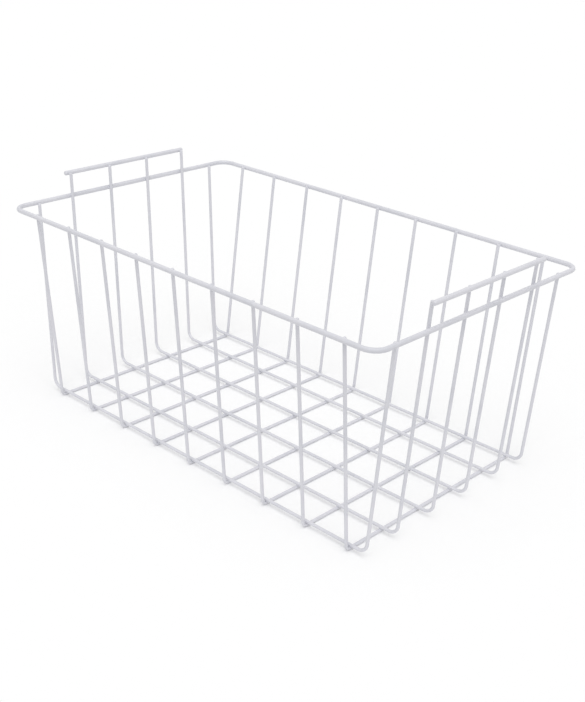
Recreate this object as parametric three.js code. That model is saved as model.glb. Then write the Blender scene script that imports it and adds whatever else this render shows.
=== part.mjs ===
// Hanging wire basket for a chest freezer, welded from coated steel wire.
// Millimetres, +Z up. X runs along the basket, Y across it, and the origin is
// the middle of the rectangle that the floor wires rest on.

import * as THREE from 'three';

// Wire diameters, measured over the coating
const WIRE_DIAMETER = 3.7;
const RIM_DIAMETER = 5.3;
const HANGER_DIAMETER = 5.3;
const WELD_GAP = 0.3; // left between two wires where a spot weld joins them

// Grid of the floor
const CROSS_WIRE_COUNT = 9;
const CROSS_WIRE_PITCH = 57.5;
const HANGER_WIRE_COUNT = 4; // long wires that go on above the rim
const HANGER_WIRE_PITCH = 57.5;
const OUTER_WIRE_SPACING = 47.25; // from the last of those to the outer long wire
const LONG_WIRE_RUNOUT = 10.5; // straight run past the last cross wire

// Walls
const RIM_HEIGHT = 234.0; // middle of the rim wire above the ground
const SIDE_FLARE = 22.5; // how far a side wall leans out between floor and rim
const END_FLARE = 14.7; // the same for an end wall
const CROSS_BEND_RADIUS = 5.5; // middle line of the wire, floor to side wall
const LONG_BEND_RADIUS = 11.0; // floor to end wall

// Rim and hangers
const RIM_CORNER_RADIUS = 16.0; // middle line of the rim wire
const CROSS_END_RISE = 1.4; // cross wire ends above the middle of the rim
const OUTER_END_RISE = 0.5; // outer long wire ends above the middle of the rim
const HANGER_RISE = 27.4; // hanger bar above the rim, middle to middle
const HANGER_END_RISE = 0.5; // upright ends above the middle of the bar
const HANGER_OVERHANG = 3.5; // bar end past the side of the last upright
const END_CHAMFER = 0.5; // softened cut ends

// Facets
const WIRE_SIDES = 12; // a multiple of four keeps flats towards each neighbour
const BEND_STEPS = 6;

// Worked out from the sizes above
const wireRadius = WIRE_DIAMETER / 2;
const crossFloorZ = wireRadius;
const longFloorZ = crossFloorZ + WIRE_DIAMETER + WELD_GAP;
const lastCrossX = ((CROSS_WIRE_COUNT - 1) / 2) * CROSS_WIRE_PITCH;
const lastHangerY = ((HANGER_WIRE_COUNT - 1) / 2) * HANGER_WIRE_PITCH;
const outerWireY = lastHangerY + OUTER_WIRE_SPACING;

// A wall and the floor run that it rises from, both as middle lines of one wire.
// The floor run is straight out to straightHalf, and then bends up to the wall,
// which leans out by flare on its way from the floor's height to the rim's.
function makeWall(straightHalf, floorZ, flare, bendRadius) {
  const rise = RIM_HEIGHT - floorZ;
  const lean = flare / rise;
  const turn = Math.atan2(rise, flare);
  const cornerHalf = straightHalf + bendRadius * Math.tan(turn / 2);
  return {
    straightHalf,
    floorZ,
    bendRadius,
    turn,
    halfAt: (z) => cornerHalf + lean * (z - floorZ),
    // a wire welded to the outer side of the wall lies this far out, measured level
    outsideBy: (diameter) => (wireRadius + diameter / 2 + WELD_GAP) * Math.hypot(1, lean),
  };
}

const sideWall = makeWall(outerWireY, crossFloorZ, SIDE_FLARE, CROSS_BEND_RADIUS);
const endWall = makeWall(lastCrossX + LONG_WIRE_RUNOUT, longFloorZ, END_FLARE, LONG_BEND_RADIUS);

const rimHalfLength = endWall.halfAt(RIM_HEIGHT) + endWall.outsideBy(RIM_DIAMETER);
const rimHalfWidth = sideWall.halfAt(RIM_HEIGHT) + sideWall.outsideBy(RIM_DIAMETER);
const hangerZ = RIM_HEIGHT + HANGER_RISE;
const hangerX = endWall.halfAt(hangerZ) + endWall.outsideBy(HANGER_DIAMETER);
const hangerLength = 2 * (lastHangerY + wireRadius + HANGER_OVERHANG);

// Middle line of a U-shaped wire: down one wall, along the floor, up the other.
function uPath(wall, topZ) {
  const { straightHalf, bendRadius, turn } = wall;
  const bendZ = wall.floorZ + bendRadius;
  const topHalf = wall.halfAt(topZ);
  const down = -Math.PI / 2;
  const wallFootX = straightHalf + bendRadius * Math.sin(turn);
  const wallFootZ = bendZ - bendRadius * Math.cos(turn);
  const path = new THREE.Path();
  path.moveTo(-topHalf, topZ);
  path.lineTo(-wallFootX, wallFootZ);
  path.absarc(-straightHalf, bendZ, bendRadius, down - turn, down, false);
  path.lineTo(straightHalf, wall.floorZ);
  path.absarc(straightHalf, bendZ, bendRadius, down, down + turn, false);
  path.lineTo(topHalf, topZ);
  return path;
}

// Middle line of the rim: a rectangle with rounded corners.
function rimPath(halfLength, halfWidth, radius) {
  const x = halfLength - radius;
  const y = halfWidth - radius;
  const quarter = Math.PI / 2;
  const path = new THREE.Path();
  path.absarc(x, y, radius, 0, quarter, false);
  path.absarc(-x, y, radius, quarter, 2 * quarter, false);
  path.absarc(-x, -y, radius, 2 * quarter, 3 * quarter, false);
  path.absarc(x, -y, radius, 3 * quarter, 4 * quarter, false);
  path.closePath();
  return path;
}

// Points of a path without repeats, and without the closing point of a loop.
function pathPoints(path, closed) {
  const points = path.getPoints(BEND_STEPS / 2);
  const kept = points.filter((p, i) => i === 0 || p.distanceTo(points[i - 1]) > 1e-6);
  if (closed && kept[0].distanceTo(kept[kept.length - 1]) < 1e-6) kept.pop();
  return kept;
}

// Stations along a wire: where its section sits, which way the section's plane
// leans in the path's plane, and how far the flats stand off the middle line.
// At a corner the section takes the mitre, so every straight keeps its width.
function wireStations(points, radius, closed) {
  const count = points.length;
  const stations = points.map((point, i) => {
    const before = closed || i > 0 ? points[(i + count - 1) % count] : null;
    const after = closed || i < count - 1 ? points[(i + 1) % count] : null;
    const into = before ? point.clone().sub(before).normalize() : after.clone().sub(point).normalize();
    const out = after ? after.clone().sub(point).normalize() : into;
    const tangent = into.clone().add(out).normalize();
    const normal = new THREE.Vector2(-tangent.y, tangent.x);
    return { point, normal, mitre: 1 / tangent.dot(into), radius };
  });
  if (closed) return stations;
  return [...chamfer(stations[0], stations[1]), ...stations.slice(1, -1),
    ...chamfer(stations[count - 1], stations[count - 2]).reverse()];
}

// The two stations that soften a cut end: a smaller face, then the full section.
function chamfer(end, next) {
  const inward = next.point.clone().sub(end.point).normalize();
  const full = { ...end, point: end.point.clone().addScaledVector(inward, END_CHAMFER) };
  return [{ ...end, radius: end.radius - END_CHAMFER }, full];
}

// Sweep a many-sided section along a path that lies in the local XY plane.
function sweepWire(points, diameter, closed) {
  const stations = wireStations(points, diameter / 2, closed);
  const positions = [];
  for (const { point, normal, mitre, radius } of stations) {
    const corner = radius / Math.cos(Math.PI / WIRE_SIDES);
    for (let k = 0; k < WIRE_SIDES; k++) {
      const angle = ((k + 0.5) * 2 * Math.PI) / WIRE_SIDES;
      const across = corner * Math.cos(angle) * mitre;
      positions.push(point.x + normal.x * across, point.y + normal.y * across, corner * Math.sin(angle));
    }
  }
  const index = [];
  const rings = stations.length;
  for (let s = 0; s < (closed ? rings : rings - 1); s++) {
    const here = s * WIRE_SIDES;
    const there = ((s + 1) % rings) * WIRE_SIDES;
    for (let k = 0; k < WIRE_SIDES; k++) {
      const next = (k + 1) % WIRE_SIDES;
      index.push(here + k, there + next, there + k, here + k, here + next, there + next);
    }
  }
  if (!closed) {
    const last = (rings - 1) * WIRE_SIDES;
    for (let k = 1; k < WIRE_SIDES - 1; k++) {
      index.push(0, k + 1, k, last, last + k, last + k + 1);
    }
  }
  const geometry = new THREE.BufferGeometry();
  geometry.setAttribute('position', new THREE.Float32BufferAttribute(positions, 3));
  geometry.setIndex(index);
  geometry.computeVertexNormals();
  return geometry;
}

// White coated steel, with the heavier wires in the same coat
function coatedSteel() {
  return new THREE.MeshStandardMaterial({ color: 0xe9e9ee, roughness: 0.38, metalness: 0.0 });
}

function wireMesh(name, geometry) {
  const mesh = new THREE.Mesh(geometry, coatedSteel());
  mesh.name = name;
  return mesh;
}

// Positions of a row of wires, evenly spaced about the middle
function row(count, pitch) {
  return Array.from({ length: count }, (_, i) => (i - (count - 1) / 2) * pitch);
}

const basket = new THREE.Group();
basket.name = 'wire_basket';

// Cross wires: their path's plane stands across the basket
const crossWires = new THREE.Group();
crossWires.rotation.z = Math.PI / 2;
const crossPoints = pathPoints(uPath(sideWall, RIM_HEIGHT + CROSS_END_RISE), false);
row(CROSS_WIRE_COUNT, CROSS_WIRE_PITCH).forEach((x, i) => {
  const mesh = wireMesh(`cross_wire_${i + 1}`, sweepWire(crossPoints, WIRE_DIAMETER, false));
  mesh.rotation.x = Math.PI / 2;
  mesh.position.y = -x;
  crossWires.add(mesh);
});
basket.add(crossWires);

// Long wires lie on the cross wires. The outer two stop at the rim and the
// others run on up to the hanger bars.
const outerTop = RIM_HEIGHT + OUTER_END_RISE;
const hangerTop = hangerZ + HANGER_END_RISE;
const longWires = [
  { y: -outerWireY, topZ: outerTop },
  ...row(HANGER_WIRE_COUNT, HANGER_WIRE_PITCH).map((y) => ({ y, topZ: hangerTop })),
  { y: outerWireY, topZ: outerTop },
];
longWires.forEach(({ y, topZ }, i) => {
  const points = pathPoints(uPath(endWall, topZ), false);
  const mesh = wireMesh(`long_wire_${i + 1}`, sweepWire(points, WIRE_DIAMETER, false));
  mesh.rotation.x = Math.PI / 2;
  mesh.position.y = y;
  basket.add(mesh);
});

// The rim goes round the outside of the wall wires
const rimPoints = pathPoints(rimPath(rimHalfLength, rimHalfWidth, RIM_CORNER_RADIUS), true);
const rim = wireMesh('rim_wire', sweepWire(rimPoints, RIM_DIAMETER, true));
rim.position.z = RIM_HEIGHT;
basket.add(rim);

// A straight bar across the outside of the uprights at each end
const barPoints = [new THREE.Vector2(-hangerLength / 2, 0), new THREE.Vector2(hangerLength / 2, 0)];
for (const [name, side] of [['hanger_bar_left', -1], ['hanger_bar_right', 1]]) {
  const bar = wireMesh(name, sweepWire(barPoints, HANGER_DIAMETER, false));
  bar.rotation.z = Math.PI / 2;
  bar.position.set(side * hangerX, 0, hangerZ);
  basket.add(bar);
}

export default basket;
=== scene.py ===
"""Looks of a hanging wire basket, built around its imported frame.

The frame gives the place and the gauge of every wire. Each wire is swept here as a
smooth round rod in a white plastic coat with rounded cut ends, the coat is pooled in
the welds where wires cross, and a white stage with soft light and a camera is set up.
"""

import math

import bpy
from bpy.props import FloatProperty, FloatVectorProperty, IntProperty, PointerProperty
from mathutils import Matrix, Vector


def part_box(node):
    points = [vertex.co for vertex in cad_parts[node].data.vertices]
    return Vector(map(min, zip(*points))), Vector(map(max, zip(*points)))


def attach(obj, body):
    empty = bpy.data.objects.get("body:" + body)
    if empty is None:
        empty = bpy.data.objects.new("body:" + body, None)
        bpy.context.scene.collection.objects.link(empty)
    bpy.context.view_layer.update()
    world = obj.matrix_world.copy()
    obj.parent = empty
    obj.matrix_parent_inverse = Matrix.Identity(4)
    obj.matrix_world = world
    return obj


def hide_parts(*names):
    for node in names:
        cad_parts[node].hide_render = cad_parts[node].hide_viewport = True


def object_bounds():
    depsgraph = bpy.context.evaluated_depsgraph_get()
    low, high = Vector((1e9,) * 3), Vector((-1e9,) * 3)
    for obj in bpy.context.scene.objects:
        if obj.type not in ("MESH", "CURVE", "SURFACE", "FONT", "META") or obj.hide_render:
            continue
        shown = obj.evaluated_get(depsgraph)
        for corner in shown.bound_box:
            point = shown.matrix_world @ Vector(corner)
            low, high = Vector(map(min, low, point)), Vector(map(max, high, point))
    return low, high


bl_info = {
    "name": "Hanging wire basket",
    "version": (1, 0, 0),
    "blender": (4, 5, 0),
    "location": "View3D > Sidebar > Wire basket",
    "description": "Coated wires, welds and a white stage around a packed wire basket",
    "category": "Object",
}

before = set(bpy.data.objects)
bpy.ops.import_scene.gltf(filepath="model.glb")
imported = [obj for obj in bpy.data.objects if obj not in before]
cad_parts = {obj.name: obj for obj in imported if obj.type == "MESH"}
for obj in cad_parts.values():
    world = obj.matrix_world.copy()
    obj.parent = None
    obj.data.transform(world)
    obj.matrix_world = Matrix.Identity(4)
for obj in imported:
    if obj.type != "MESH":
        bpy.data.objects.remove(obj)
cad_box = [list(corner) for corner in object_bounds()]

MM = 0.001
BODY = "root"


def linear(hex_colour):
    """Turns an sRGB hex colour such as #E0E0E4 to the linear numbers that shaders take."""
    channels = [int(hex_colour[start:start + 2], 16) / 255 for start in (1, 3, 5)]
    return tuple(c / 12.92 if c <= 0.04045 else ((c + 0.055) / 1.055) ** 2.4 for c in channels)


# Places and gauges read from the frame

CROSS_WIRES = [f"cross_wire_{number}" for number in range(1, 10)]
LONG_WIRES = [f"long_wire_{number}" for number in range(1, 7)]
OUTER_WIRES = [LONG_WIRES[0], LONG_WIRES[-1]]  # these stop at the rim
UPRIGHTS = LONG_WIRES[1:-1]  # these run on up to the hanger bars
RIM = "rim_wire"
BARS = ["hanger_bar_left", "hanger_bar_right"]


def middle(node):
    """Middle of a node's box."""
    low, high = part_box(node)
    return (low + high) / 2


def extent(node):
    """Sizes of a node's box."""
    low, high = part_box(node)
    return high - low


GRID_DIAMETER = extent(CROSS_WIRES[0]).x
RIM_DIAMETER = extent(RIM).z
BAR_DIAMETER = extent(BARS[0]).z
GRID_RADIUS = GRID_DIAMETER / 2
RIM_RADIUS = RIM_DIAMETER / 2
BAR_RADIUS = BAR_DIAMETER / 2

CROSS_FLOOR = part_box(CROSS_WIRES[0])[0].z + GRID_RADIUS  # middle line of a cross wire's floor run
LONG_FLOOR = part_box(LONG_WIRES[0])[0].z + GRID_RADIUS
WELD_GAP = LONG_FLOOR - CROSS_FLOOR - GRID_DIAMETER

# Sizes of the frame's wires that their boxes don't show

LONG_WIRE_RUNOUT = 10.5 * MM  # straight floor run of a long wire past the last cross wire
CUT_CHAMFER = 0.5 * MM  # softened cut end of a wire

# Halves of the straight floor runs

SIDE_STRAIGHT = abs(middle(LONG_WIRES[-1]).y)  # of a cross wire
END_STRAIGHT = abs(middle(CROSS_WIRES[-1]).x) + LONG_WIRE_RUNOUT  # of a long wire

# How finely the wires are cut into rings and sides

RING_SPACING = 14 * MM
BEND_STEPS = 14
END_STEPS = 6
WELD_SIDES = 16
LEAN_PASSES = 6  # enough to settle a wall's lean and its cut end together

# Seeds of the uneven coat, counted up from here within each group of wires

CROSS_WAVES = 0
LONG_WAVES = 20
RIM_WAVES = 40
BAR_WAVES = 50

# Sizes of the stage

FLOOR_REACH = 15.0  # metres, how far the floor runs on behind the basket and to its left
LAMP_DISTANCE = 2.0  # metres, only where a lamp is drawn, because its light is the same everywhere
SENSOR_HEIGHT = 36.0  # millimetres, the height of the picture that the lens is given for


class WireBasketSizes(bpy.types.PropertyGroup):
    """Sizes of the wires and of the coat on them."""

    grid_diameter: FloatProperty(
        name="Grid wire", description="Diameter of the cross and long wires over their coat",
        default=GRID_DIAMETER, min=0.5 * MM, unit="LENGTH", precision=5)
    rim_diameter: FloatProperty(
        name="Rim wire", description="Diameter of the rim over its coat",
        default=RIM_DIAMETER, min=0.5 * MM, unit="LENGTH", precision=5)
    bar_diameter: FloatProperty(
        name="Hanger bar", description="Diameter of the hanger bars over their coat",
        default=BAR_DIAMETER, min=0.5 * MM, unit="LENGTH", precision=5)
    side_bend: FloatProperty(
        name="Side bend", description="Bend radius of the cross wires, on their middle line",
        default=5.5 * MM, min=2 * MM, unit="LENGTH", precision=5)
    end_bend: FloatProperty(
        name="End bend", description="Bend radius of the long wires, on their middle line",
        default=11 * MM, min=2 * MM, unit="LENGTH", precision=5)
    rim_corner: FloatProperty(
        name="Rim corner", description="Corner radius of the rim, on its middle line",
        default=16 * MM, min=6 * MM, unit="LENGTH", precision=5)
    end_rounding: FloatProperty(
        name="End rounding", description="Length over which the coat rounds a cut end",
        default=1.6 * MM, min=0.1 * MM, unit="LENGTH", precision=5)
    end_face: FloatProperty(
        name="End face", description="Flat face left at a cut end, as a share of the diameter",
        default=0.3, min=0.1, max=1.0, subtype="FACTOR")
    coat_wave: FloatProperty(
        name="Coat wave", description="Unevenness of the coat, as a share of the radius",
        default=0.012, min=0.0, max=0.1, subtype="FACTOR")
    weld_reach: FloatProperty(
        name="Weld reach", description="How far the pooled coat runs along a wire, in wire radii",
        default=1.3, min=0.8, max=2.5, subtype="FACTOR")
    sides: IntProperty(
        name="Sides", description="Faces round a wire", default=20, min=8, max=64)


class WireBasketFinish(bpy.types.PropertyGroup):
    """Colours and gloss of the coat."""

    coat_colour: FloatVectorProperty(
        name="Coat", description="Colour of the plastic coat",
        default=linear("#DCDCE2"), size=3, min=0.0, max=1.0, subtype="COLOR")
    shade_colour: FloatVectorProperty(
        name="Thin coat", description="Colour where the coat is thinner and the steel greys it",
        default=linear("#D2D3DA"), size=3, min=0.0, max=1.0, subtype="COLOR")
    pooled_colour: FloatVectorProperty(
        name="Pooled coat", description="Colour of the coat pooled in the welds",
        default=linear("#D6D7DE"), size=3, min=0.0, max=1.0, subtype="COLOR")
    gloss_low: FloatProperty(
        name="Roughness, smooth", description="Roughness of the smoothest spots of the coat",
        default=0.34, min=0.0, max=1.0, subtype="FACTOR")
    gloss_high: FloatProperty(
        name="Roughness, dull", description="Roughness of the dullest spots of the coat",
        default=0.46, min=0.0, max=1.0, subtype="FACTOR")


class WireBasketStage(bpy.types.PropertyGroup):
    """Floor, light and camera."""

    floor_colour: FloatVectorProperty(
        name="Floor", description="Colour of the floor under the basket",
        default=linear("#FAFAFA"), size=3, min=0.0, max=1.0, subtype="COLOR")
    floor_lift: FloatProperty(
        name="Floor lift", description="Light added to the floor in the picture so that it reads white",
        default=0.05, min=0.0, max=1.0)
    board_margin: FloatProperty(
        name="Board margin",
        description="How far the floor runs on past the basket on the camera's two sides",
        default=0.33, min=0.0, subtype="DISTANCE", unit="LENGTH")
    sky_strength: FloatProperty(
        name="Surroundings", description="Strength of the white light from all round",
        default=0.65, min=0.0, max=3.0)
    top_strength: FloatProperty(
        name="Top light", description="Strength of the soft light overhead",
        default=0.62, min=0.0)
    top_height: FloatProperty(
        name="Top light height", description="Angle of the top light above the floor, on the camera's side",
        default=math.radians(80), subtype="ANGLE")
    top_spread: FloatProperty(
        name="Top light spread", description="How wide the top light looks from the basket",
        default=math.radians(50), subtype="ANGLE")
    front_strength: FloatProperty(
        name="Front light", description="Strength of the soft light from the camera's side",
        default=0.62, min=0.0)
    front_height: FloatProperty(
        name="Front light height", description="Angle of the front light above the floor",
        default=math.radians(50), subtype="ANGLE")
    front_spread: FloatProperty(
        name="Front light spread", description="How wide the front light looks from the basket",
        default=math.radians(60), subtype="ANGLE")
    camera_place: FloatVectorProperty(
        name="Camera", description="Where the camera stands",
        default=(0.83315, -0.88378, 0.64002), size=3, subtype="TRANSLATION", unit="LENGTH")
    camera_target: FloatVectorProperty(
        name="Looks at", description="Point in the middle of the picture",
        default=(-0.01343, 0.03670, 0.08073), size=3, subtype="TRANSLATION", unit="LENGTH")
    camera_roll: FloatProperty(
        name="Roll", description="Turn of the camera about its line of sight",
        default=math.radians(2.428), subtype="ANGLE")
    lens: FloatProperty(
        name="Lens", description="Focal length in millimetres, for a picture 36 mm tall",
        default=59.572, min=10.0, subtype="DISTANCE_CAMERA")


class WireBasketSettings(bpy.types.PropertyGroup):
    """All settings of the basket."""

    sizes: PointerProperty(type=WireBasketSizes, name="Sizes", description="Sizes of the wires")
    finish: PointerProperty(type=WireBasketFinish, name="Finish", description="Look of the coat")
    stage: PointerProperty(type=WireBasketStage, name="Stage", description="Floor, light, camera")


def add_node(tree, kind, settings=None, inputs=None):
    """Adds a node, sets its settings, and fills or links its inputs."""
    node = tree.nodes.new(kind)
    for name, value in (settings or {}).items():
        setattr(node, name, value)
    for key, value in (inputs or {}).items():
        if isinstance(value, bpy.types.NodeSocket):
            tree.links.new(value, node.inputs[key])
        else:
            node.inputs[key].default_value = value
    return node


# Materials

def coat_material(name, finish, colour, seed, gloss_shift=0.0):
    """White polyethylene coat, dipped and fused onto hot steel wire.

    To the eye it is a clean, slightly cool white with a satin sheen. It is a little greyer
    where the coat ran thin over the steel, a little duller in patches, and has a soft ripple.
    """
    tone_size = 38 * MM  # thin and thick stretches of coat along a wire
    dull_size = 7 * MM  # patches of duller skin
    # the real ripple is near 0.6 mm, too fine to show here, so it is drawn at twice that
    ripple_size = 1.2 * MM
    ripple_height = 0.02 * MM
    thin_from = 0.40  # noise at which the coat starts to run thin
    thin_to = 0.72  # noise at which it is thinnest
    thin_share = 0.8  # how far the thinnest coat goes to the thin coat's colour
    dull_from = 0.3  # noise of the smoothest spots
    dull_to = 0.7  # noise of the dullest spots
    pattern_step = (1.7, 2.3, 0.9)  # how far one coat's patterns lie from the next one's
    plastic_ior = 1.51
    material = bpy.data.materials.new(name)
    material.use_nodes = True
    tree = material.node_tree
    tree.nodes.clear()
    place = add_node(tree, "ShaderNodeTexCoord").outputs["Object"]
    shifted = add_node(
        tree, "ShaderNodeMapping", {"vector_type": "POINT"},
        {"Vector": place, "Location": tuple(seed * step for step in pattern_step)})
    spot = shifted.outputs["Vector"]
    tone = add_node(
        tree, "ShaderNodeTexNoise", {"noise_dimensions": "3D"},
        {"Vector": spot, "Scale": 1 / tone_size, "Detail": 3.0, "Roughness": 0.55})
    thin = add_node(
        tree, "ShaderNodeMapRange", {"interpolation_type": "SMOOTHSTEP"},
        {"Value": tone.outputs["Fac"], "From Min": thin_from, "From Max": thin_to,
         "To Min": 0.0, "To Max": thin_share})
    tint = add_node(
        tree, "ShaderNodeMix", {"data_type": "RGBA"},
        {"Factor": thin.outputs["Result"], "A": (*colour, 1), "B": (*finish.shade_colour, 1)})
    dull = add_node(
        tree, "ShaderNodeTexNoise", {"noise_dimensions": "3D"},
        {"Vector": spot, "Scale": 1 / dull_size, "Detail": 2.0})
    gloss = add_node(
        tree, "ShaderNodeMapRange", None,
        {"Value": dull.outputs["Fac"], "From Min": dull_from, "From Max": dull_to,
         "To Min": finish.gloss_low + gloss_shift, "To Max": finish.gloss_high + gloss_shift})
    ripple = add_node(
        tree, "ShaderNodeTexNoise", {"noise_dimensions": "3D"},
        {"Vector": spot, "Scale": 1 / ripple_size, "Detail": 1.0})
    bump = add_node(
        tree, "ShaderNodeBump", None,
        {"Strength": 0.5, "Distance": ripple_height, "Height": ripple.outputs["Fac"]})
    skin = add_node(
        tree, "ShaderNodeBsdfPrincipled", None,
        {"Base Color": tint.outputs["Result"], "Roughness": gloss.outputs["Result"],
         "IOR": plastic_ior, "Normal": bump.outputs["Normal"]})
    add_node(tree, "ShaderNodeOutputMaterial", None, {"Surface": skin.outputs["BSDF"]})
    return material


def grid_coat(finish):
    """Coat of the cross and long wires."""
    name = "White polyethylene coat, grid wire"
    return bpy.data.materials.get(name) or coat_material(name, finish, finish.coat_colour, seed=1)


def rim_coat(finish):
    """Coat of the rim."""
    name = "White polyethylene coat, rim wire"
    return bpy.data.materials.get(name) or coat_material(name, finish, finish.coat_colour, seed=2)


def bar_coat(finish):
    """Coat of the hanger bars, a touch smoother from sliding on ledges."""
    name = "White polyethylene coat, hanger bar"
    return bpy.data.materials.get(name) or coat_material(
        name, finish, finish.coat_colour, seed=3, gloss_shift=-0.04)


def pooled_coat(finish):
    """Coat pooled in the welds, smoother and greyer over the fused steel."""
    name = "White polyethylene coat, pooled at welds"
    return bpy.data.materials.get(name) or coat_material(
        name, finish, finish.pooled_colour, seed=4, gloss_shift=-0.06)


# Geometry node trees

def new_tree(name, inputs, output):
    """A geometry node tree with named inputs of the given kinds and one output."""
    tree = bpy.data.node_groups.new(name, "GeometryNodeTree")
    for label, kind in inputs.items():
        tree.interface.new_socket(label, in_out="INPUT", socket_type="NodeSocket" + kind)
    tree.interface.new_socket(output, in_out="OUTPUT", socket_type="NodeSocketGeometry")
    return tree


def wire_tree():
    """Sweeps a round wire along a path of edges, with coat-rounded ends and an uneven coat."""
    name = "Coated wire"
    if name in bpy.data.node_groups:
        return bpy.data.node_groups[name]
    tree = new_tree(name, {
        "Path": "Geometry",
        "Diameter": "Float",
        "End rounding": "Float",
        "End face": "Float",
        "Coat wave": "Float",
        "Wave seed": "Float",
        "Sides": "Int",
        "Coat": "Material",
    }, "Wire")
    given = add_node(tree, "NodeGroupInput").outputs

    path = add_node(tree, "GeometryNodeMeshToCurve", None, {"Mesh": given["Path"]})
    along = add_node(tree, "GeometryNodeSplineParameter")
    whole = add_node(tree, "GeometryNodeSplineLength")
    left_over = add_node(
        tree, "ShaderNodeMath", {"operation": "SUBTRACT"},
        {0: whole.outputs["Length"], 1: along.outputs["Length"]})
    to_end = add_node(
        tree, "ShaderNodeMath", {"operation": "MINIMUM"},
        {0: along.outputs["Length"], 1: left_over.outputs["Value"]})
    share = add_node(
        tree, "ShaderNodeMath", {"operation": "DIVIDE", "use_clamp": True},
        {0: to_end.outputs["Value"], 1: given["End rounding"]})
    short = add_node(
        tree, "ShaderNodeMath", {"operation": "SUBTRACT"}, {0: 1.0, 1: share.outputs["Value"]})
    squared = add_node(
        tree, "ShaderNodeMath", {"operation": "MULTIPLY"},
        {0: short.outputs["Value"], 1: short.outputs["Value"]})
    rest = add_node(
        tree, "ShaderNodeMath", {"operation": "SUBTRACT", "use_clamp": True},
        {0: 1.0, 1: squared.outputs["Value"]})
    arc = add_node(tree, "ShaderNodeMath", {"operation": "SQRT"}, {0: rest.outputs["Value"]})
    rounded = add_node(
        tree, "ShaderNodeMapRange", None,
        {"Value": arc.outputs["Value"], "To Min": given["End face"], "To Max": 1.0})
    closed = add_node(tree, "GeometryNodeInputSplineCyclic")
    taper = add_node(
        tree, "GeometryNodeSwitch", {"input_type": "FLOAT"},
        {"Switch": closed.outputs["Cyclic"], "False": rounded.outputs["Result"], "True": 1.0})

    wave_length = 26 * MM
    place = add_node(tree, "GeometryNodeInputPosition")
    wave = add_node(
        tree, "ShaderNodeTexNoise", {"noise_dimensions": "4D"},
        {"Vector": place.outputs["Position"], "W": given["Wave seed"],
         "Scale": 1 / wave_length, "Detail": 1.0})
    swing = add_node(
        tree, "ShaderNodeMapRange", None,
        {"Value": wave.outputs["Fac"], "To Min": -1.0, "To Max": 1.0})
    thickness = add_node(
        tree, "ShaderNodeMath", {"operation": "MULTIPLY_ADD"},
        {0: swing.outputs["Result"], 1: given["Coat wave"], 2: 1.0})
    size = add_node(
        tree, "ShaderNodeMath", {"operation": "MULTIPLY"},
        {0: taper.outputs["Output"], 1: thickness.outputs["Value"]})

    radius = add_node(
        tree, "ShaderNodeMath", {"operation": "MULTIPLY"}, {0: given["Diameter"], 1: 0.5})
    section = add_node(
        tree, "GeometryNodeCurvePrimitiveCircle", {"mode": "RADIUS"},
        {"Resolution": given["Sides"], "Radius": radius.outputs["Value"]})
    sweep = add_node(
        tree, "GeometryNodeCurveToMesh", None,
        {"Curve": path.outputs["Curve"], "Profile Curve": section.outputs["Curve"],
         "Scale": size.outputs["Value"], "Fill Caps": True})
    smooth = add_node(tree, "GeometryNodeSetShadeSmooth", None, {"Geometry": sweep.outputs["Mesh"]})
    whole_mesh = add_node(
        tree, "GeometryNodeRealizeInstances", None, {"Geometry": smooth.outputs["Geometry"]})
    coated = add_node(
        tree, "GeometryNodeSetMaterial", None,
        {"Geometry": whole_mesh.outputs["Geometry"], "Material": given["Coat"]})
    add_node(tree, "NodeGroupOutput", None, {"Wire": coated.outputs["Geometry"]})
    return tree


def weld_tree():
    """Sets one coat-filled weld on each crossing, square to the two wires that meet there."""
    name = "Welds at crossings"
    if name in bpy.data.node_groups:
        return bpy.data.node_groups[name]
    tree = new_tree(name, {"Crossings": "Geometry", "Weld": "Object", "Coat": "Material"}, "Welds")
    given = add_node(tree, "NodeGroupInput").outputs
    outward = add_node(
        tree, "GeometryNodeInputNamedAttribute", {"data_type": "FLOAT_VECTOR"}, {"Name": "outward"})
    upper = add_node(
        tree, "GeometryNodeInputNamedAttribute", {"data_type": "FLOAT_VECTOR"}, {"Name": "upper_wire"})
    turn = add_node(
        tree, "FunctionNodeAxesToRotation", {"primary_axis": "Z", "secondary_axis": "X"},
        {"Primary Axis": outward.outputs["Attribute"], "Secondary Axis": upper.outputs["Attribute"]})
    pattern = add_node(tree, "GeometryNodeObjectInfo", None, {"Object": given["Weld"]})
    copies = add_node(
        tree, "GeometryNodeInstanceOnPoints", None,
        {"Points": given["Crossings"], "Instance": pattern.outputs["Geometry"],
         "Rotation": turn.outputs["Rotation"]})
    whole_mesh = add_node(
        tree, "GeometryNodeRealizeInstances", None, {"Geometry": copies.outputs["Instances"]})
    smooth = add_node(
        tree, "GeometryNodeSetShadeSmooth", None, {"Geometry": whole_mesh.outputs["Geometry"]})
    coated = add_node(
        tree, "GeometryNodeSetMaterial", None,
        {"Geometry": smooth.outputs["Geometry"], "Material": given["Coat"]})
    add_node(tree, "NodeGroupOutput", None, {"Welds": coated.outputs["Geometry"]})
    return tree


def grown(context, name, seed_mesh, tree, values):
    """Runs a tree on a mesh and returns the result as an object with a plain mesh."""
    piece = bpy.data.objects.new(name, seed_mesh)
    context.scene.collection.objects.link(piece)
    modifier = piece.modifiers.new(tree.name, "NODES")
    modifier.node_group = tree
    for socket in tree.interface.items_tree:
        if socket.in_out == "INPUT" and socket.name in values:
            modifier[socket.identifier] = values[socket.name]
    graph = context.evaluated_depsgraph_get()
    mesh = bpy.data.meshes.new_from_object(piece.evaluated_get(graph), depsgraph=graph)
    if not mesh.polygons:
        raise RuntimeError(f"{name} came out empty")
    piece.modifiers.remove(modifier)
    piece.data = mesh
    mesh.name = name
    bpy.data.meshes.remove(seed_mesh)
    return piece


# Middle lines of the wires

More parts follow.
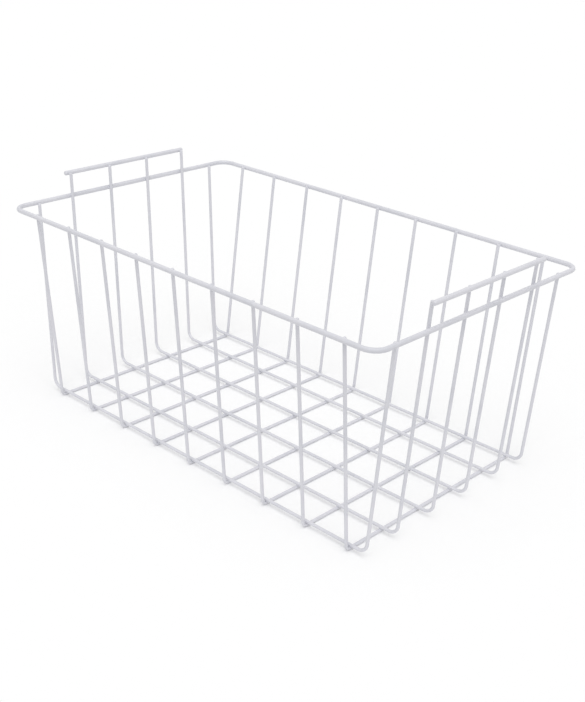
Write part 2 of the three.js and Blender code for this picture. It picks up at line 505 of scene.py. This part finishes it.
def divided(points, spacing):
    """Cuts the long straight runs of a path into steps of about the spacing."""
    cut = [points[0]]
    for start, end in zip(points, points[1:]):
        steps = max(1, round((end - start).length / spacing))
        cut += [start.lerp(end, step / steps) for step in range(1, steps + 1)]
    return cut


def with_round_ends(points, rounding):
    """Adds the close rings that let the coat round both cut ends of a path."""
    depths = [rounding * (1 - math.cos(step / END_STEPS * math.pi / 2))
              for step in range(1, END_STEPS + 1)]
    first = (points[1] - points[0]).normalized()
    last = (points[-2] - points[-1]).normalized()
    opening = [points[0] + first * depth for depth in depths]
    closing = [points[-1] + last * depth for depth in reversed(depths)]
    return [points[0], *opening, *points[1:-1], *closing, points[-1]]


def bend(centre, radius, start, end):
    """Points of an arc in a plane, from one angle to another."""
    angles = [start + (end - start) * step / BEND_STEPS for step in range(BEND_STEPS + 1)]
    return [Vector((centre.x + radius * math.cos(angle), centre.y + radius * math.sin(angle)))
            for angle in angles]


class Wall:
    """Middle line of a U-shaped wire, found from its node's far and top sides.

    The floor run is straight out to straight_half, and the wall is the tangent from the
    bend to the cut end. The lean sets how the cut end lies in the node's box and the
    cut end sets the lean, so the two are worked out together.
    """

    def __init__(self, straight_half, floor, bend_radius, far, top):
        self.straight_half = straight_half
        self.floor = floor
        self.bend_radius = bend_radius
        self.lean = 0.0
        for _ in range(LEAN_PASSES):
            half = far - GRID_RADIUS * math.cos(self.lean) + CUT_CHAMFER * math.sin(self.lean)
            height = top - (GRID_RADIUS - CUT_CHAMFER) * math.sin(self.lean)
            self.end = Vector((half, height))
            reach = self.end - Vector((straight_half, floor + bend_radius))
            touch = math.atan2(reach.y, reach.x) - math.acos(bend_radius / reach.length)
            self.lean = -touch

    def path(self, rounding):
        """Level and upright distances along the whole wire, from one cut end to the other."""
        centre = Vector((self.straight_half, self.floor + self.bend_radius))
        right = bend(centre, self.bend_radius, -math.pi / 2, -self.lean) + [self.end]
        left = [Vector((-point.x, point.y)) for point in reversed(right)]
        return with_round_ends(divided(left + right, RING_SPACING), rounding)


def side_wall(node, bend_radius):
    """Wall line of a cross wire."""
    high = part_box(node)[1]
    return Wall(SIDE_STRAIGHT, CROSS_FLOOR, bend_radius, high.y, high.z)


def end_wall(node, bend_radius):
    """Wall line of a long wire."""
    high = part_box(node)[1]
    return Wall(END_STRAIGHT, LONG_FLOOR, bend_radius, high.x, high.z)


def path_mesh(name, points, closed=False):
    """A mesh of edges along a path."""
    count = len(points)
    edges = [(here, (here + 1) % count) for here in range(count if closed else count - 1)]
    mesh = bpy.data.meshes.new(name + "_path")
    mesh.from_pydata(points, edges, [])
    return mesh


def dress_wire(context, node, points, diameter, coat, seed, closed=False):
    """Makes the coated wire that stands for a node."""
    sizes = context.scene.wire_basket.sizes
    wire = grown(context, node + "_coated", path_mesh(node, points, closed), wire_tree(), {
        "Diameter": diameter,
        "End rounding": sizes.end_rounding,
        "End face": sizes.end_face,
        "Coat wave": sizes.coat_wave,
        "Wave seed": float(seed),
        "Sides": sizes.sides,
        "Coat": coat,
    })
    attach(wire, BODY)
    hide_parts(node)


class BASKET_OT_cross_wires(bpy.types.Operator):
    """Make the nine U-shaped wires of the side walls"""

    bl_idname = "basket.cross_wires"
    bl_label = "Cross wires"

    def execute(self, context):
        settings = context.scene.wire_basket
        coat = grid_coat(settings.finish)
        for seed, node in enumerate(CROSS_WIRES, start=CROSS_WAVES):
            x = middle(node).x
            wall = side_wall(node, settings.sizes.side_bend)
            points = [Vector((x, p.x, p.y)) for p in wall.path(settings.sizes.end_rounding)]
            dress_wire(context, node, points, settings.sizes.grid_diameter, coat, seed)
        return {"FINISHED"}


class BASKET_OT_long_wires(bpy.types.Operator):
    """Make the six U-shaped wires of the end walls"""

    bl_idname = "basket.long_wires"
    bl_label = "Long wires"

    def execute(self, context):
        settings = context.scene.wire_basket
        coat = grid_coat(settings.finish)
        for seed, node in enumerate(LONG_WIRES, start=LONG_WAVES):
            y = middle(node).y
            wall = end_wall(node, settings.sizes.end_bend)
            points = [Vector((p.x, y, p.y)) for p in wall.path(settings.sizes.end_rounding)]
            dress_wire(context, node, points, settings.sizes.grid_diameter, coat, seed)
        return {"FINISHED"}


class BASKET_OT_rim_wire(bpy.types.Operator):
    """Make the heavy wire round the mouth"""

    bl_idname = "basket.rim_wire"
    bl_label = "Rim"

    def execute(self, context):
        settings = context.scene.wire_basket
        radius = settings.sizes.rim_corner
        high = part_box(RIM)[1]
        height = middle(RIM).z
        x = high.x - RIM_RADIUS - radius
        y = high.y - RIM_RADIUS - radius
        quarter = math.pi / 2
        flat = []
        for number, (side_x, side_y) in enumerate([(x, y), (-x, y), (-x, -y), (x, -y)]):
            flat += bend(Vector((side_x, side_y)), radius, number * quarter, (number + 1) * quarter)
        flat = divided(flat + [flat[0]], RING_SPACING)[:-1]
        points = [Vector((p.x, p.y, height)) for p in flat]
        dress_wire(context, RIM, points, settings.sizes.rim_diameter, rim_coat(settings.finish),
                   RIM_WAVES, closed=True)
        return {"FINISHED"}


class BASKET_OT_hanger_bars(bpy.types.Operator):
    """Make the two straight bars that the basket hangs by"""

    bl_idname = "basket.hanger_bars"
    bl_label = "Hanger bars"

    def execute(self, context):
        settings = context.scene.wire_basket
        coat = bar_coat(settings.finish)
        for seed, node in enumerate(BARS, start=BAR_WAVES):
            low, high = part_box(node)
            centre = middle(node)
            ends = [Vector((centre.x, low.y, centre.z)), Vector((centre.x, high.y, centre.z))]
            points = with_round_ends(divided(ends, RING_SPACING), settings.sizes.end_rounding)
            dress_wire(context, node, points, settings.sizes.bar_diameter, coat, seed)
        return {"FINISHED"}


# Welds

def weld_mesh(name, lower_radius, upper_radius, sizes, rise=None):
    """Coat pooled between two wires that cross at a right angle.

    The lower wire runs along Y under the middle point and the upper one along X over it.
    The pool is a waisted collar that meets each wire along an oval and runs out level with
    its surface. Its edges dip under both surfaces, where it is closed. Where the lower wire
    ends, at the given rise along Y, the pool stops short of the rounded tip.
    """
    half_gap = WELD_GAP / 2
    across_share = 0.74  # how far the pool reaches round a wire
    pull = 0.52  # how far the waist is drawn in
    skirt = 1.14  # the hidden edge, past the oval
    skirt_sink = 0.07 * MM
    proud = 0.012 * MM
    waist_steps = (0.22, 0.5, 0.78)
    inside = 0.9  # a ring inside the oval, which shows how the surface runs there
    tip_cover = 0.6 * MM  # how far past a tip the pool climbs the upper wire

    reach = sizes.weld_reach * lower_radius
    cover = across_share * upper_radius
    low_top = reach if rise is None else rise - sizes.end_rounding / 2
    high_top = cover if rise is None else min(cover, rise + tip_cover)

    def radius_at(along):
        if rise is None:
            return lower_radius
        to_tip = min(max((rise - along) / sizes.end_rounding, 0.0), 1.0)
        arc = math.sqrt(1 - (1 - to_tip) ** 2)
        return lower_radius * (sizes.end_face + (1 - sizes.end_face) * arc)

    def oval(bottom, top, step):
        return (top + bottom) / 2 + (top - bottom) / 2 * step

    def lower_point(angle, share, lift):
        along = oval(-reach, low_top, share * math.sin(angle))
        radius = radius_at(along)
        across = across_share * radius * share * math.cos(angle)
        sunk = lower_radius - math.sqrt(radius * radius - across * across)
        return Vector((across, along, -half_gap - sunk + lift))

    def upper_point(angle, share, lift):
        along = reach * share * math.cos(angle)
        across = oval(-cover, high_top, share * math.sin(angle))
        across = min(max(across, -cover), high_top)
        sunk = upper_radius - math.sqrt(upper_radius * upper_radius - across * across)
        return Vector((along, across, half_gap + sunk - lift))

    def waist_point(low, low_pull, high, high_pull, t):
        s = 1 - t
        return (low * s ** 3 + (low + low_pull) * 3 * s * s * t
                + (high + high_pull) * 3 * s * t * t + high * t ** 3)

    columns = []
    for side in range(WELD_SIDES):
        angle = 2 * math.pi * side / WELD_SIDES
        low = lower_point(angle, 1.0, proud)
        high = upper_point(angle, 1.0, proud)
        span = (high - low).length
        low_pull = (lower_point(angle, inside, proud) - low).normalized() * span * pull
        high_pull = (upper_point(angle, inside, proud) - high).normalized() * span * pull
        waist = [waist_point(low, low_pull, high, high_pull, step) for step in waist_steps]
        hidden_low = lower_point(angle, skirt, -skirt_sink)
        hidden_high = upper_point(angle, skirt, -skirt_sink)
        columns.append([hidden_low, low, *waist, high, hidden_high])
    rings = list(zip(*columns))
    points = [point for ring in rings for point in ring]
    faces = []
    for ring in range(len(rings) - 1):
        for side in range(WELD_SIDES):
            after = (side + 1) % WELD_SIDES
            here = ring * WELD_SIDES
            there = here + WELD_SIDES
            faces.append((here + side, here + after, there + after, there + side))
    bottom = len(points)
    top = bottom + 1
    last = (len(rings) - 1) * WELD_SIDES
    low_middle = oval(-reach, low_top, 0.0)
    points.append(Vector((0, low_middle, -half_gap - lower_radius)))
    points.append(Vector((0, 0, half_gap + upper_radius)))
    for side in range(WELD_SIDES):
        after = (side + 1) % WELD_SIDES
        faces.append((bottom, after, side))
        faces.append((top, last + side, last + after))
    mesh = bpy.data.meshes.new(name)
    mesh.from_pydata(points, [], faces)
    return mesh


def crossing_mesh(name, crossings):
    """Points at crossings, each with the way out from the lower wire and the upper wire's run."""
    mesh = bpy.data.meshes.new(name + "_points")
    mesh.from_pydata([place for place, _, _ in crossings], [], [])
    outward = mesh.attributes.new("outward", "FLOAT_VECTOR", "POINT")
    upper = mesh.attributes.new("upper_wire", "FLOAT_VECTOR", "POINT")
    for index, (_, way_out, run) in enumerate(crossings):
        outward.data[index].vector = way_out
        upper.data[index].vector = run
    return mesh


def floor_crossings():
    """Where the long wires lie on the cross wires."""
    height = (CROSS_FLOOR + LONG_FLOOR) / 2
    up = Vector((0, 0, 1))
    run = Vector((1, 0, 0))
    return [(Vector((middle(cross).x, middle(long).y, height)), up, run)
            for cross in CROSS_WIRES for long in LONG_WIRES]


def wall_crossing(wall, level, side, upper_middle, upper_radius):
    """Where a wire lies on the outer side of a wall wire, with the weld's Y up the wall wire."""
    upright = Vector((0, 0, 1))
    way_out = level * side * math.cos(wall.lean) - upright * math.sin(wall.lean)
    up_wire = level * side * math.sin(wall.lean) + upright * math.cos(wall.lean)
    place = upper_middle - way_out * (upper_radius + WELD_GAP / 2)
    return place, way_out, up_wire.cross(way_out)


def end_rise(wall, upper_height, upper_radius):
    """How far a wall wire runs on past the middle of its crossing with the wire outside it."""
    crossing = upper_height + (upper_radius + WELD_GAP + GRID_RADIUS) * math.sin(wall.lean)
    return (wall.end.y - crossing) / math.cos(wall.lean)


def cross_rim_crossings(sizes):
    """Where the cross wires end on the inner side of the rim."""
    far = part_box(RIM)[1].y - RIM_RADIUS
    height = middle(RIM).z
    level = Vector((0, 1, 0))
    return [wall_crossing(side_wall(node, sizes.side_bend), level, side,
                          Vector((middle(node).x, side * far, height)), RIM_RADIUS)
            for node in CROSS_WIRES for side in (-1, 1)]


def long_rim_crossings(sizes, nodes):
    """Where long wires meet the inner side of the rim."""
    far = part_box(RIM)[1].x - RIM_RADIUS
    height = middle(RIM).z
    level = Vector((1, 0, 0))
    return [wall_crossing(end_wall(node, sizes.end_bend), level, side,
                          Vector((side * far, middle(node).y, height)), RIM_RADIUS)
            for node in nodes for side in (-1, 1)]


def bar_crossings(sizes):
    """Where the uprights end on the inner side of the hanger bars."""
    level = Vector((1, 0, 0))
    return [wall_crossing(end_wall(node, sizes.end_bend), level, side,
                          Vector((middle(bar).x, middle(node).y, middle(bar).z)), BAR_RADIUS)
            for bar, side in zip(BARS, (-1, 1)) for node in UPRIGHTS]


def make_welds(context, name, crossings, upper_radius, rise=None):
    """Makes the welds of one group of crossings as one piece."""
    settings = context.scene.wire_basket
    shape = weld_mesh(name + "_shape", GRID_RADIUS, upper_radius, settings.sizes, rise)
    pattern = bpy.data.objects.new(name + "_shape", shape)
    context.scene.collection.objects.link(pattern)
    welds = grown(context, name, crossing_mesh(name, crossings), weld_tree(), {
        "Weld": pattern,
        "Coat": pooled_coat(settings.finish),
    })
    bpy.data.objects.remove(pattern)
    bpy.data.meshes.remove(shape)
    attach(welds, BODY)


class BASKET_OT_welds(bpy.types.Operator):
    """Fill the welds where wires cross with pooled coat"""

    bl_idname = "basket.welds"
    bl_label = "Welds"

    def execute(self, context):
        sizes = context.scene.wire_basket.sizes
        rim_height = middle(RIM).z
        bar_height = middle(BARS[0]).z
        cross_rise = end_rise(side_wall(CROSS_WIRES[0], sizes.side_bend), rim_height, RIM_RADIUS)
        outer_rise = end_rise(end_wall(OUTER_WIRES[0], sizes.end_bend), rim_height, RIM_RADIUS)
        upright_rise = end_rise(end_wall(UPRIGHTS[0], sizes.end_bend), bar_height, BAR_RADIUS)
        on_sides = cross_rim_crossings(sizes)
        on_ends = long_rim_crossings(sizes, OUTER_WIRES)
        on_uprights = long_rim_crossings(sizes, UPRIGHTS)
        make_welds(context, "floor_welds", floor_crossings(), GRID_RADIUS)
        make_welds(context, "rim_side_welds", on_sides, RIM_RADIUS, cross_rise)
        make_welds(context, "rim_end_welds", on_ends, RIM_RADIUS, outer_rise)
        make_welds(context, "rim_upright_welds", on_uprights, RIM_RADIUS)
        make_welds(context, "hanger_welds", bar_crossings(sizes), BAR_RADIUS, upright_rise)
        return {"FINISHED"}


# Stage

def picture_ray(tree):
    """1 for rays from the camera and for what gloss and glass show of the stage."""
    ray = add_node(tree, "ShaderNodeLightPath").outputs
    seen = add_node(
        tree, "ShaderNodeMath", {"operation": "ADD"},
        {0: ray["Is Camera Ray"], 1: ray["Is Glossy Ray"]})
    either = add_node(
        tree, "ShaderNodeMath", {"operation": "ADD", "use_clamp": True},
        {0: seen.outputs["Value"], 1: ray["Is Transmission Ray"]})
    return either.outputs["Value"]


def floor_material(stage):
    """Matt white board, lifted to white in the picture while it keeps its shadows."""
    material = bpy.data.materials.new("Matt white board")
    material.use_nodes = True
    tree = material.node_tree
    tree.nodes.clear()
    board = add_node(tree, "ShaderNodeBsdfDiffuse", None, {"Color": (*stage.floor_colour, 1)})
    lift = add_node(
        tree, "ShaderNodeMath", {"operation": "MULTIPLY"}, {0: picture_ray(tree), 1: stage.floor_lift})
    glow = add_node(
        tree, "ShaderNodeEmission", None, {"Color": (1, 1, 1, 1), "Strength": lift.outputs["Value"]})
    both = add_node(
        tree, "ShaderNodeAddShader", None, {0: board.outputs["BSDF"], 1: glow.outputs["Emission"]})
    add_node(tree, "ShaderNodeOutputMaterial", None, {"Surface": both.outputs["Shader"]})
    return material


def white_surroundings(stage):
    """An even white world, plain white where the picture sees it."""
    world = bpy.data.worlds.new("White surroundings")
    world.use_nodes = True
    tree = world.node_tree
    tree.nodes.clear()
    level = add_node(
        tree, "ShaderNodeMapRange", None,
        {"Value": picture_ray(tree), "To Min": stage.sky_strength, "To Max": 1.0})
    light = add_node(
        tree, "ShaderNodeBackground", None, {"Color": (1, 1, 1, 1), "Strength": level.outputs["Result"]})
    add_node(tree, "ShaderNodeOutputWorld", None, {"Surface": light.outputs["Background"]})
    return world


def soft_light(context, name, strength, height, spread):
    """A wide soft light from the camera's side, the same all over the floor."""
    stage = context.scene.wire_basket.stage
    lamp = bpy.data.lights.new(name, "SUN")
    lamp.energy = strength
    lamp.angle = spread
    level = Vector((stage.camera_place[0], stage.camera_place[1], 0)).normalized()
    source = level * math.cos(height) + Vector((0, 0, math.sin(height)))
    light = bpy.data.objects.new(name, lamp)
    light.rotation_euler = source.to_track_quat("Z", "Y").to_euler()
    light.location = source * LAMP_DISTANCE
    context.scene.collection.objects.link(light)


class BASKET_OT_stage(bpy.types.Operator):
    """Set the floor, the light and the camera"""

    bl_idname = "basket.stage"
    bl_label = "Stage"

    def execute(self, context):
        scene = context.scene
        stage = scene.wire_basket.stage
        scene.view_settings.view_transform = "Standard"
        scene.world = white_surroundings(stage)

        # the floor ends near the basket on the camera's two sides, so that less light comes
        # back up from it to the near wires than to the far ones
        front = cad_box[0][1] - stage.board_margin
        right = cad_box[1][0] + stage.board_margin
        corners = [
            (-FLOOR_REACH, front, 0),
            (right, front, 0),
            (right, FLOOR_REACH, 0),
            (-FLOOR_REACH, FLOOR_REACH, 0),
        ]
        mesh = bpy.data.meshes.new("floor")
        mesh.from_pydata(corners, [], [(0, 1, 2, 3)])
        mesh.materials.append(floor_material(stage))
        floor = bpy.data.objects.new("floor", mesh)
        scene.collection.objects.link(floor)

        soft_light(context, "top_light", stage.top_strength, stage.top_height, stage.top_spread)
        soft_light(context, "front_light", stage.front_strength, stage.front_height, stage.front_spread)

        optics = bpy.data.cameras.new("camera")
        optics.sensor_fit = "VERTICAL"
        optics.sensor_height = SENSOR_HEIGHT
        optics.lens = stage.lens
        camera = bpy.data.objects.new("camera", optics)
        place = Vector(stage.camera_place)
        ahead = (Vector(stage.camera_target) - place).normalized()
        level = ahead.cross(Vector((0, 0, 1))).normalized()
        upright = level.cross(ahead)
        roll = stage.camera_roll
        sideways = level * math.cos(roll) + upright * math.sin(roll)
        up = upright * math.cos(roll) - level * math.sin(roll)
        turn = Matrix((sideways, up, -ahead)).transposed().to_4x4()
        camera.matrix_world = Matrix.Translation(place) @ turn
        scene.collection.objects.link(camera)
        scene.camera = camera
        return {"FINISHED"}


class BASKET_PT_panel(bpy.types.Panel):
    """Sizes, finish and stage of the wire basket"""

    bl_idname = "BASKET_PT_panel"
    bl_label = "Wire basket"
    bl_space_type = "VIEW_3D"
    bl_region_type = "UI"
    bl_category = "Wire basket"

    def draw(self, context):
        settings = context.scene.wire_basket
        for group in (settings.sizes, settings.finish, settings.stage):
            box = self.layout.box()
            for name in group.bl_rna.properties.keys():
                if name not in ("rna_type", "name"):
                    box.prop(group, name)
        for operator in OPERATORS:
            self.layout.operator(operator.bl_idname)


OPERATORS = (
    BASKET_OT_cross_wires,
    BASKET_OT_long_wires,
    BASKET_OT_rim_wire,
    BASKET_OT_hanger_bars,
    BASKET_OT_welds,
    BASKET_OT_stage,
)
CLASSES = (
    WireBasketSizes,
    WireBasketFinish,
    WireBasketStage,
    WireBasketSettings,
    *OPERATORS,
    BASKET_PT_panel,
)


def register():
    for cls in CLASSES:
        bpy.utils.register_class(cls)
    bpy.types.Scene.wire_basket = PointerProperty(type=WireBasketSettings)


def unregister():
    del bpy.types.Scene.wire_basket
    for cls in reversed(CLASSES):
        bpy.utils.unregister_class(cls)


def main():
    register()
    bpy.ops.basket.cross_wires()
    bpy.ops.basket.long_wires()
    bpy.ops.basket.rim_wire()
    bpy.ops.basket.hanger_bars()
    bpy.ops.basket.welds()
    bpy.ops.basket.stage()


if __name__ == "__main__":
    main()
